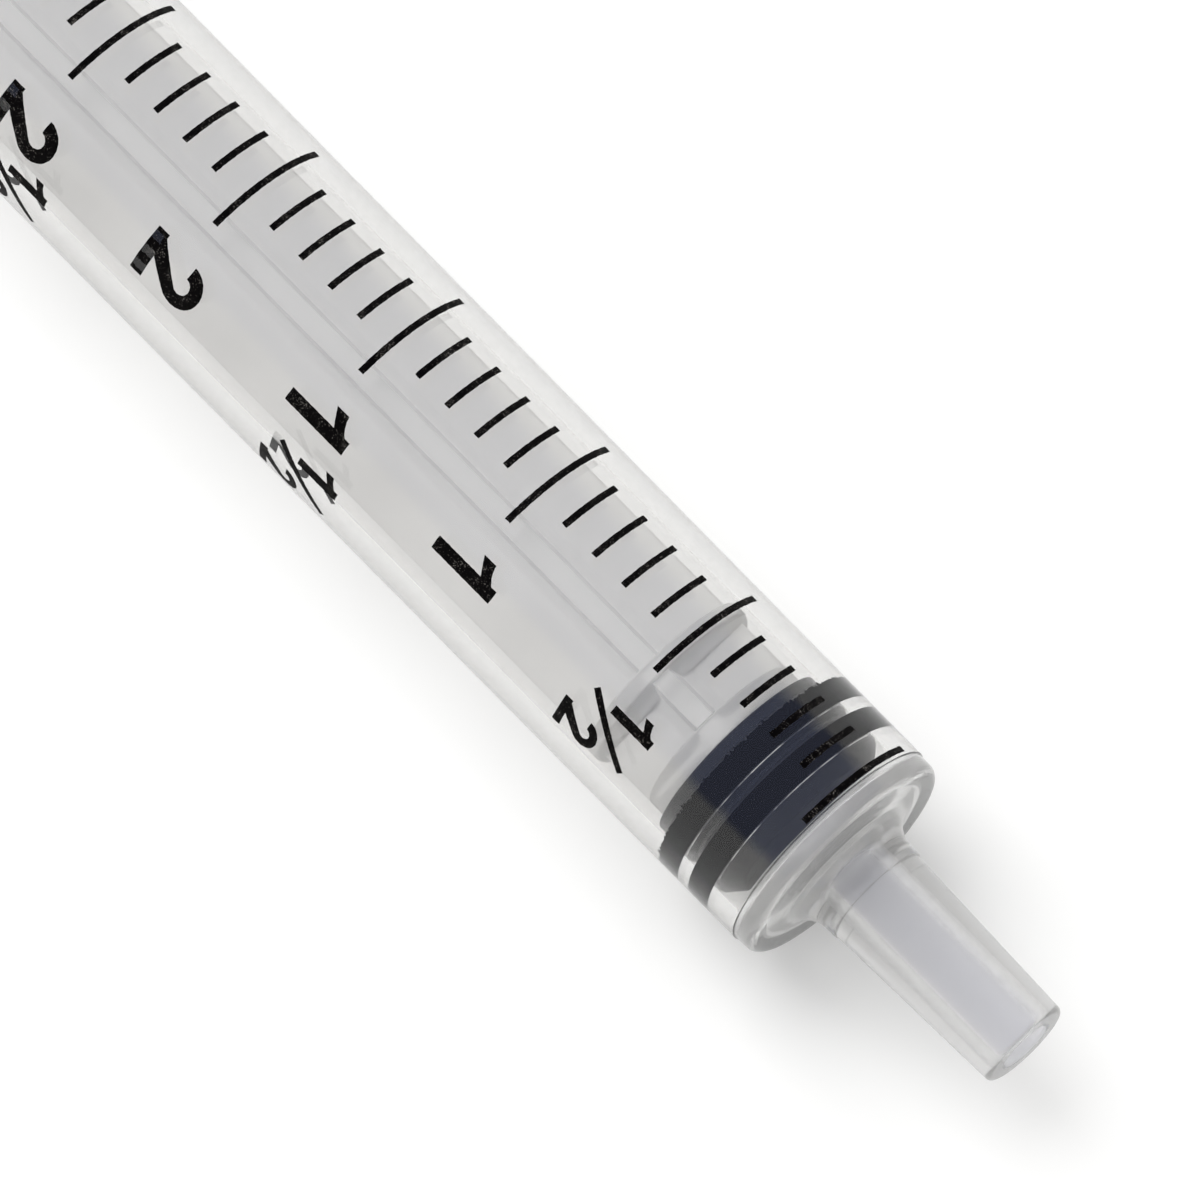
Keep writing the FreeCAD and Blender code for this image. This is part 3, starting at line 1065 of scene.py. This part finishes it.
def ribbon(path, width):
    """A strip of this width along a path: each edge is the path moved half a width along its normal."""
    step = np.gradient(path, axis=0)
    normal = np.stack([-step[:, 1], step[:, 0]], -1) / np.linalg.norm(step, axis=1)[:, None]
    return strip(path - normal * width / 2, path + normal * width / 2)


def bow(centre, reach, start, end):
    """Part of an ellipse about the centre, between two angles in degrees."""
    angle = np.radians(np.linspace(start, end, 40))
    return np.stack([centre[0] + reach[0] * np.cos(angle), centre[1] + reach[1] * np.sin(angle)], -1)


print("a square of ink is a grid of", bar(0, 0, 1, 1).shape[:2], "places")

# %% [markdown]
# Three numerals are enough, as the scale ends at three. Their measures are in mm on the page, at full
# height.

# %% Draw the numerals
NUMERAL_HEIGHT = 3.26
STROKE = 0.60


def numeral_one():
    """A stem, and a flag that curves down to the left from its top."""
    share = np.linspace(0, 1, 16)[:, None]
    start, pull, end = np.array([[0.0, 2.56], [0.72, 2.72], [0.98, NUMERAL_HEIGHT]])
    upper = start * (1 - share) ** 2 + 2 * share * (1 - share) * pull + share ** 2 * end
    lower = np.linspace((0.0, 1.90), (0.80, 2.36), 16)
    return [bar(0.78, 0, 1.42, NUMERAL_HEIGHT), strip(lower, upper)]


def numeral_two():
    """A round bowl over the top, a straight sweep down to the lower left, and a bar along the foot."""
    outer = 0.99
    inner = outer - STROKE
    centre = (1.18, NUMERAL_HEIGHT - outer)
    outside = bow(centre, (outer, outer), 178, -34)
    inside = bow(centre, (inner, inner), 178, -34)
    outside = np.concatenate([outside, straight(outside[-1], (1.09, STROKE))])
    inside = np.concatenate([inside, straight(inside[-1], (0.0, 0.40))])
    return [strip(inside, outside), bar(0.0, 0, 2.24, STROKE)]


def numeral_three():
    """Two bowls, the lower a little larger, that meet in the middle."""
    half = STROKE / 2
    upper = bow((1.06, 2.42), (0.72, NUMERAL_HEIGHT - half - 2.42), 168, -78)
    lower = bow((1.06, 0.98), (0.80, 0.98 - half), 78, -168)
    return [ribbon(upper, STROKE), ribbon(lower, STROKE), bar(0.85, 1.45, 1.25, 1.98)]


NUMERALS = (numeral_one, numeral_two, numeral_three)
print("strokes in each numeral:", [len(draw()) for draw in NUMERALS])

# %% Lay numerals and fractions on the tube
LABEL_ARC = -1.58
FRACTION_SIZE = 0.66
FRACTION_ARC = -2.52
FRACTION_RISE = 2.4
LONE_FRACTION_RISE = 1.95
SLASH_FOOT = (0.56, 0.0)
SLASH_TOP = (2.74, 2.8)
SLASH_WIDTH = 0.30
SLASH_DROP = 3.2
LOWER_ARC = -1.78
LOWER_DROP = 1.88


def placed(strokes, arc, foot, size=1.0):
    """Slabs for the strokes of one numeral: x on the page runs to smaller arc, y towards the nozzle."""
    return [
        slab(arc - stroke[..., 0] * size, foot - stroke[..., 1] * size, order * INK_LIFT)
        for order, stroke in enumerate(strokes)
    ]


def half_sign(arc, top):
    """A small one, a slash and a small two, from the arc length of its left edge and its top's place."""
    small = NUMERAL_HEIGHT * FRACTION_SIZE
    slash = ribbon(line(SLASH_FOOT, SLASH_TOP), SLASH_WIDTH)
    made = placed(numeral_one(), arc, top + small, FRACTION_SIZE)
    made += placed([slash], arc, top + SLASH_DROP)
    return made + placed(numeral_two(), arc + LOWER_ARC, top + LOWER_DROP + small, FRACTION_SIZE)


def label(halves):
    """The label of a long line: a whole number, a half sign, or both, centred on the line."""
    line_place = ZERO_LINE + 5 * halves * TENTH
    whole, half = divmod(halves, 2)
    made = []
    if whole:
        made += placed(NUMERALS[whole - 1](), LABEL_ARC, line_place + NUMERAL_HEIGHT / 2)
    if half and whole:
        made += half_sign(LABEL_ARC + FRACTION_ARC, line_place - FRACTION_RISE)
    elif half:
        made += half_sign(LABEL_ARC, line_place - LONE_FRACTION_RISE)
    return made


labels = [part for halves in range(1, LAST_TENTH // 5 + 1) for part in label(halves)]
scale_numerals = make_piece("scale_numerals", *merge(labels), PRINT_INK, sharp_angle=SHARP_INK)
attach(scale_numerals, "barrel")

# %% [markdown]
# ## The floor and the light
#
# The photograph has a white background and a soft grey shadow. White paint under a plain light would
# render pale grey, and more light would burn out the plastic. So the floor glows a little, only for rays
# from the camera or through plastic, and the shadow still darkens the painted part. The syringe lies on
# the rim of its flange and on its front edge, so the floor is tilted to lie just under both.

# %% The floor
FLOOR_SIZE = 6.0
FLOOR_GAP = 0.02
FLOOR_PAINT = (0.84, 0.84, 0.835)
FLOOR_DRIFT = 1.005
FLOOR_GLOW = 0.225


def floor_material():
    """Matt white paint, plus a faint glow that only camera, mirror and transmitted rays see."""
    material, tree, output = new_material("floor_paint")
    path = add(tree, "ShaderNodeLightPath")
    cloud = noise(tree, object_place(tree), scale=3.0)
    paint = blend(tree, cloud, (*FLOOR_PAINT, 1.0), (*[v * FLOOR_DRIFT for v in FLOOR_PAINT], 1.0))
    matt = add(tree, "ShaderNodeBsdfDiffuse", {"Color": paint})
    seen = path.outputs["Is Camera Ray"]
    for ray in ("Is Glossy Ray", "Is Transmission Ray"):
        seen = calculate(tree, "MAXIMUM", seen, path.outputs[ray])
    strength = calculate(tree, "MULTIPLY", seen, FLOOR_GLOW)
    glow = add(tree, "ShaderNodeEmission", {"Strength": strength})
    total = add(tree, "ShaderNodeAddShader", {0: matt.outputs[0], 1: glow.outputs[0]})
    tree.links.new(total.outputs[0], output.inputs["Surface"])
    return material


def make_floor():
    """A wide square just under the lowest points of the front rim and of the flange."""
    front = (BAND_END * MM, -tube_radius_at(BAND_END) * MM)
    rear = ((BARREL_END - FLANGE_THICKNESS / 2) * MM, -FLANGE_FLAT * MM)
    slope = (rear[1] - front[1]) / (rear[0] - front[0])
    x = np.array([-1, 1, 1, -1]) * FLOOR_SIZE / 2
    y = np.array([-1, -1, 1, 1]) * FLOOR_SIZE / 2
    z = front[1] + slope * (x - front[0]) - FLOOR_GAP * MM
    floor = make_piece("floor", np.stack([x, y, z], -1), [[0, 1, 2, 3]], floor_material())
    print("floor slope", round(math.degrees(math.atan(slope)), 2), "degrees")


make_floor()

# %% [markdown]
# The room is a pale one: near the horizon it is white, and overhead it is a dim grey. Clear plastic
# mirrors that dim ceiling, which keeps the black rubber behind it black. Rays that were mirrored or bent
# see the ceiling bluer than it lights the floor: the plastic looks cool, and the shadow stays neutral.
# One large soft lamp stands high over the syringe on the flange's side, and throws the shadow towards the
# nozzle.

# %% The room
ROOM_WHITE = (1.05, 1.05, 1.05, 1.0)
ROOM_CEILING = (0.42, 0.42, 0.42, 1.0)
MIRRORED_CEILING = (0.31, 0.36, 0.58, 1.0)
WHITE_UP_TO = 0.37
CEILING_FROM = 0.53


def make_room():
    """The world's colour by the height of the direction looked in: white below, the ceiling's grey above.

    Plastic that mirrors or bends a ray to the ceiling sees it bluer than the floor does."""
    world = bpy.data.worlds.new("room")
    world.use_nodes = True
    tree = world.node_tree
    tree.nodes.clear()
    direction = add(tree, "ShaderNodeTexCoord")
    parts = add(tree, "ShaderNodeSeparateXYZ", {0: direction.outputs["Generated"]})
    height = ramp(tree, parts.outputs["Z"], WHITE_UP_TO, CEILING_FROM, interpolation_type="SMOOTHSTEP")
    path = add(tree, "ShaderNodeLightPath").outputs
    mirrored = calculate(tree, "MAXIMUM", path["Is Glossy Ray"], path["Is Transmission Ray"])
    colour = blend(tree, height, ROOM_WHITE, blend(tree, mirrored, ROOM_CEILING, MIRRORED_CEILING))
    light = add(tree, "ShaderNodeBackground", {"Color": colour})
    add(tree, "ShaderNodeOutputWorld", {"Surface": light.outputs[0]})
    bpy.context.scene.world = world
    return world


room = make_room()
print("world", room.name, "with", len(room.node_tree.nodes), "nodes")

# %% The lamp
LAMP_SIZE = 0.8
LAMP_DISTANCE = 1.2
LAMP_POWER = 9.5
LAMP_COLOUR = (1.0, 1.0, 0.995)
LAMP_DIRECTION = Vector((0.66, 0.02, 1.0)).normalized()


def make_lamp():
    """A square soft lamp that faces the point that the camera looks at."""
    data = bpy.data.lights.new("soft_lamp", "AREA")
    data.shape = "SQUARE"
    data.size = LAMP_SIZE
    data.energy = LAMP_POWER
    data.color = LAMP_COLOUR
    lamp = bpy.data.objects.new("soft_lamp", data)
    lamp.visible_glossy = False
    lamp.visible_transmission = False
    lamp.rotation_mode = "QUATERNION"
    lamp.rotation_quaternion = LAMP_DIRECTION.to_track_quat("Z", "Y")
    lamp.location = CAMERA_TARGET + LAMP_DIRECTION * LAMP_DISTANCE
    bpy.context.scene.collection.objects.link(lamp)
    return lamp


lamp = make_lamp()
bpy.context.scene.view_settings.view_transform = "Standard"
print("lamp of", LAMP_POWER, "W at", [round(v, 3) for v in lamp.location])
